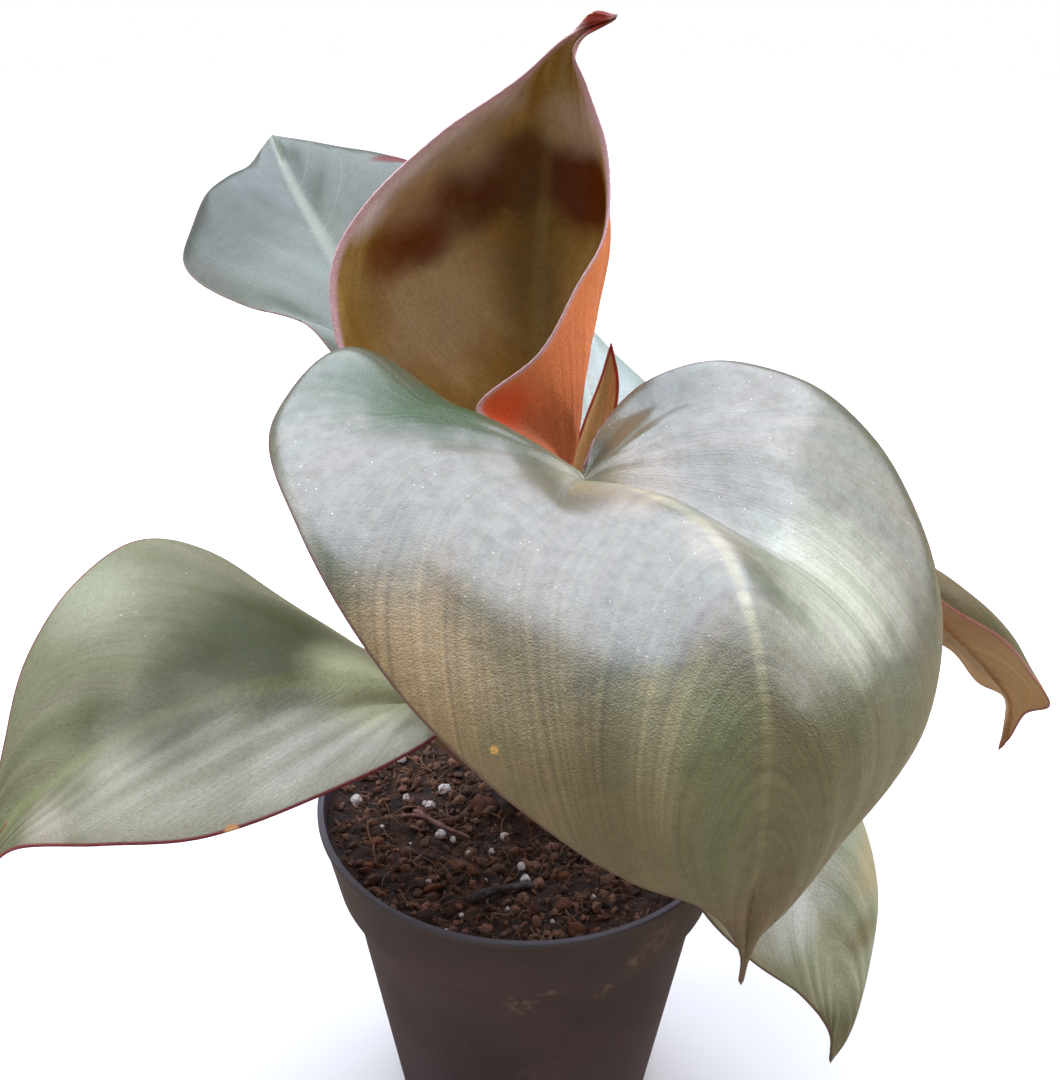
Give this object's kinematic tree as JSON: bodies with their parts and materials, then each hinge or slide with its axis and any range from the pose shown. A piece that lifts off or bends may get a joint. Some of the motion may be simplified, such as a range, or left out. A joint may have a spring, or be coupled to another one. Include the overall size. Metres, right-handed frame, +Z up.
{
  "type": "potted red heart philodendron",
  "caption": "Potted heart-leaf house plant: cupped and arching leaves on slim stalks around a short stem, in soil in a thin round nursery pot.",
  "frame": {"origin": "centre of the pot's flat underside", "axes": "+Z up, -Y towards the front of the plant, where the largest leaf hangs over the rim, +X to its right"},
  "size_m": [0.2594, 0.1913, 0.2651],
  "materials": {
    "pot_plastic": "satin",
    "potting_soil": "matte",
    "stem_skin": "matte",
    "stalk_mauve": "satin",
    "blade_grey_green": "satin",
    "blade_bronze": "satin",
    "blade_pale_green": "satin",
    "blade_dark_green": "satin",
    "blade_mid_green": "satin",
    "blade_red_brown": "satin",
    "blade_blue_green": "satin",
    "sheath_orange": "satin"
  },
  "bodies": {
    "root": {"pot": "pot_plastic", "soil": "potting_soil", "stem": "stem_skin", "blade_front": "blade_grey_green", "stalk_front": "stalk_mauve", "blade_young": "blade_bronze", "stalk_young": "stalk_mauve", "blade_upper_left": "blade_pale_green", "stalk_upper_left": "stalk_mauve", "blade_left": "blade_dark_green", "stalk_left": "stalk_mauve", "blade_lower_right": "blade_mid_green", "stalk_lower_right": "stalk_mauve", "blade_right": "blade_red_brown", "stalk_right": "stalk_mauve", "blade_back": "blade_blue_green", "stalk_back": "stalk_mauve", "sheath": "sheath_orange"}
  },
  "joints": []
}
